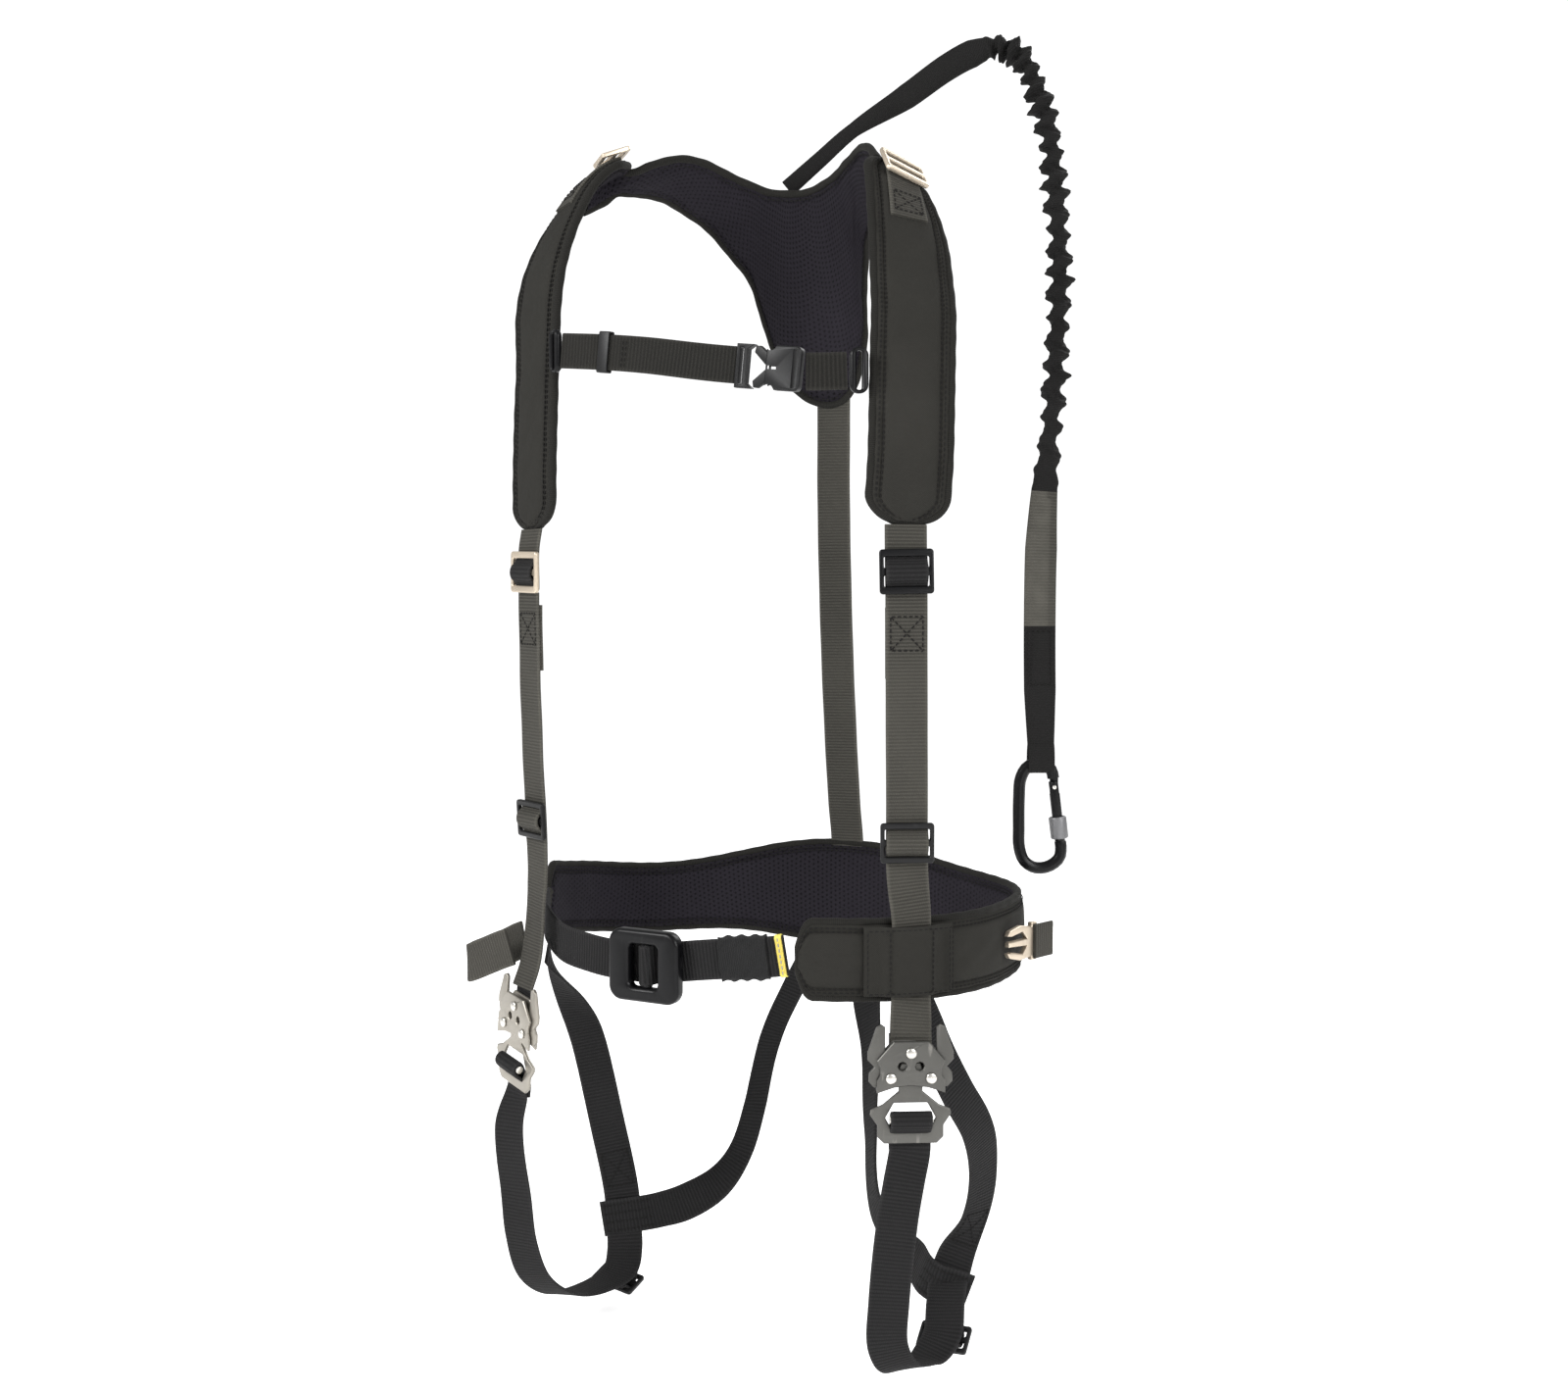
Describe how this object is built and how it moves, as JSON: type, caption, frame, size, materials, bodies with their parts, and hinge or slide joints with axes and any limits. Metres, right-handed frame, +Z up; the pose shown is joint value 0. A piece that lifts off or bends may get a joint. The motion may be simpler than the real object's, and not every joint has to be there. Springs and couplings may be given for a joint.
{
  "type": "safety harness vest",
  "caption": "Full-body fall harness vest: padded yoke and belt, webbing straps, quick-connect leg buckles, chest buckle and an elastic tether with a screw-sleeve carabiner.",
  "frame": {"origin": "midway between the wearer's shoulders, on the shoulder line", "axes": "+Z up, the wearer faces -Y, the wearer's left is +X"},
  "size_m": [0.378, 0.2519, 0.8569],
  "materials": {
    "webbing": "woven polyester webbing, charcoal olive, cross ribs",
    "pad_cloth": "woven nylon over foam, charcoal olive",
    "lining": "brushed knitted lining, near black",
    "elastic": "gathered tubular webbing over elastic, black",
    "champagne": "champagne anodised metal, satin",
    "gunmetal": "gunmetal grey coated plate, satin",
    "black_metal": "gloss black painted metal",
    "black_plastic": "black moulded acetal",
    "grey_elastic": "grey elastic band",
    "steel": "plated steel pin"
  },
  "bodies": {
    "root": {"shoulder_pad_left": "pad_cloth", "shoulder_pad_right": "pad_cloth", "belt_pad": "pad_cloth", "belt_sleeve_left": "pad_cloth", "yoke_pad": "lining", "front_strap_upper_left": "webbing", "front_strap_upper_right": "webbing", "front_strap_left": "webbing", "front_strap_right": "webbing", "belt_webbing_left": "webbing", "belt_webbing_right": "webbing", "side_loop_right": "webbing", "back_strap": "webbing", "outer_leg_strap_left": "webbing", "outer_leg_strap_right": "webbing", "thigh_strap_left": "webbing", "thigh_strap_right": "webbing", "seat_strap_left": "webbing", "seat_strap_right": "webbing", "shoulder_buckle_left": "champagne", "shoulder_buckle_right": "champagne", "belt_buckle_frame": "black_metal", "tether": "elastic", "leg_buckle_left_front_plate": "gunmetal", "leg_buckle_left_back_plate": "gunmetal", "leg_buckle_right_front_plate": "champagne", "leg_buckle_right_back_plate": "champagne"},
    "leg_male_left": {"leg_buckle_left_male_plate": "gunmetal", "leg_buckle_left_bar": "steel"},
    "leg_male_right": {"leg_buckle_right_male_plate": "champagne", "leg_buckle_right_bar": "steel"},
    "chest_strap": {"chest_slider_left": "black_metal", "chest_slider_right": "black_metal", "chest_webbing_left": "webbing", "chest_webbing_right": "webbing", "chest_buckle_socket": "black_plastic"},
    "chest_catch": {"chest_buckle_catch": "black_plastic"},
    "chest_keeper": {"chest_keeper": "black_plastic"},
    "chest_prong_upper": {"chest_prong_upper": "black_plastic"},
    "chest_prong_lower": {"chest_prong_lower": "black_plastic"},
    "carabiner": {"carabiner_body": "black_metal", "carabiner_gate_pin": "steel"},
    "carabiner_gate": {"carabiner_gate": "black_metal"},
    "carabiner_sleeve": {"carabiner_sleeve": "grey_elastic"},
    "side_buckle_left": {"side_buckle_left": "champagne", "side_tail_left": "webbing"},
    "belt_buckle_bar": {"belt_buckle_bar": "black_metal"},
    "belt_keeper": {"belt_keeper": "grey_elastic"},
    "leg_left_lever_outer": {"leg_buckle_left_lever_outer": "gunmetal"},
    "leg_left_lever_inner": {"leg_buckle_left_lever_inner": "gunmetal"},
    "strap_slider_left": {"strap_slider_left": "black_plastic"},
    "ladder_lock_left": {"ladder_lock_left": "black_metal"},
    "leg_slider_left": {"leg_slider_left": "black_plastic"},
    "leg_right_lever_outer": {"leg_buckle_right_lever_outer": "champagne"},
    "leg_right_lever_inner": {"leg_buckle_right_lever_inner": "champagne"},
    "strap_slider_right": {"strap_slider_right": "black_plastic"},
    "ladder_lock_right": {"ladder_lock_right": "champagne"},
    "leg_slider_right": {"leg_slider_right": "black_plastic"}
  },
  "joints": [
    {"name": "leg_release_left", "type": "slide", "parent": "root", "child": "leg_male_left", "axis": [0, 0, -1], "range_m": [0, 0.018]},
    {"name": "leg_lever_outer_left", "type": "hinge", "parent": "root", "child": "leg_left_lever_outer", "pos_m": [0.1456, -0.09537, -0.565], "axis": [0.4695, -0.8829, 0], "range_deg": [0, 4], "stiffness_Nm_per_rad": 0.05},
    {"name": "leg_lever_inner_left", "type": "hinge", "parent": "root", "child": "leg_left_lever_inner", "pos_m": [0.1244, -0.10663, -0.565], "axis": [-0.4695, 0.8829, 0], "range_deg": [0, 4], "stiffness_Nm_per_rad": 0.05},
    {"name": "leg_release_right", "type": "slide", "parent": "root", "child": "leg_male_right", "axis": [-0.1232, 0.0655, -0.9902], "range_m": [0, 0.018]},
    {"name": "leg_lever_outer_right", "type": "hinge", "parent": "root", "child": "leg_right_lever_outer", "pos_m": [-0.15011, -0.09509, -0.56128], "axis": [0.4695, 0.8829, 0], "range_deg": [0, 4], "stiffness_Nm_per_rad": 0.05},
    {"name": "leg_lever_inner_right", "type": "hinge", "parent": "root", "child": "leg_right_lever_inner", "pos_m": [-0.12912, -0.10625, -0.56463], "axis": [-0.4695, -0.8829, 0], "range_deg": [0, 4], "stiffness_Nm_per_rad": 0.05},
    {"name": "chest_height", "type": "slide", "parent": "root", "child": "chest_strap", "axis": [0, -0.119, -0.9929], "range_m": [-0.015, 0.03]},
    {"name": "chest_release", "type": "slide", "parent": "chest_strap", "child": "chest_catch", "axis": [-0.9946, -0.0298, 0.0995], "range_m": [0, 0.014]},
    {"name": "chest_prong_upper_squeeze", "type": "hinge", "parent": "chest_catch", "child": "chest_prong_upper", "pos_m": [0.04465, -0.12175, -0.13461], "axis": [-0.03, 0.9996, 0], "range_deg": [0, 6], "stiffness_Nm_per_rad": 0.02},
    {"name": "chest_prong_lower_squeeze", "type": "hinge", "parent": "chest_catch", "child": "chest_prong_lower", "pos_m": [0.04246, -0.12182, -0.1565], "axis": [0.03, -0.9996, 0], "range_deg": [0, 6], "stiffness_Nm_per_rad": 0.02},
    {"name": "chest_keeper_slide", "type": "slide", "parent": "chest_strap", "child": "chest_keeper", "axis": [0.9897, -0.1136, -0.0868], "range_m": [-0.004, 0.004]},
    {"name": "carabiner_swing", "type": "hinge", "parent": "root", "child": "carabiner", "pos_m": [0.15409, 0.08958, -0.394], "axis": [0.9063, 0.4226, 0], "range_deg": [-25, 25]},
    {"name": "carabiner_gate_open", "type": "hinge", "parent": "carabiner", "child": "carabiner_gate", "pos_m": [0.16316, 0.0938, -0.4105], "axis": [-0.4226, 0.9063, 0], "range_deg": [0, 25], "stiffness_Nm_per_rad": 0.08},
    {"name": "carabiner_sleeve_travel", "type": "slide", "parent": "carabiner_gate", "child": "carabiner_sleeve", "axis": [-0.1118, -0.0521, 0.9924], "range_m": [0, 0.008]},
    {"name": "strap_slider_left_move", "type": "slide", "parent": "root", "child": "strap_slider_left", "axis": [0.017, -0.0537, 0.9984], "range_m": [-0.012, 0.03]},
    {"name": "strap_slider_right_move", "type": "slide", "parent": "root", "child": "strap_slider_right", "axis": [-0.0156, -0.0589, 0.9981], "range_m": [-0.012, 0.03]},
    {"name": "ladder_lock_left_tilt", "type": "hinge", "parent": "root", "child": "ladder_lock_left", "pos_m": [0.13061, -0.09922, -0.27919], "axis": [0.8828, 0.4694, 0.0197], "range_deg": [0, 30]},
    {"name": "ladder_lock_right_tilt", "type": "hinge", "parent": "root", "child": "ladder_lock_right", "pos_m": [-0.13061, -0.09922, -0.27919], "axis": [0.8828, -0.4694, -0.0197], "range_deg": [0, 30]},
    {"name": "leg_slider_left_move", "type": "slide", "parent": "root", "child": "leg_slider_left", "axis": [0.0368, -0.8131, -0.581], "range_m": [-0.005, 0.005]},
    {"name": "leg_slider_right_move", "type": "slide", "parent": "root", "child": "leg_slider_right", "axis": [-0.1033, -0.9482, -0.3005], "range_m": [-0.005, 0.005]},
    {"name": "belt_bar_float", "type": "slide", "parent": "root", "child": "belt_buckle_bar", "axis": [0.9968, -0.08, 0], "range_m": [-0.003, 0.003]},
    {"name": "belt_keeper_move", "type": "slide", "parent": "root", "child": "belt_keeper", "axis": [-0.9971, -0.008, -0.0753], "range_m": [-0.006, 0.006]},
    {"name": "side_buckle_release", "type": "slide", "parent": "root", "child": "side_buckle_left", "axis": [0.4142, 0.9102, 0], "range_m": [0, 0.012]}
  ]
}
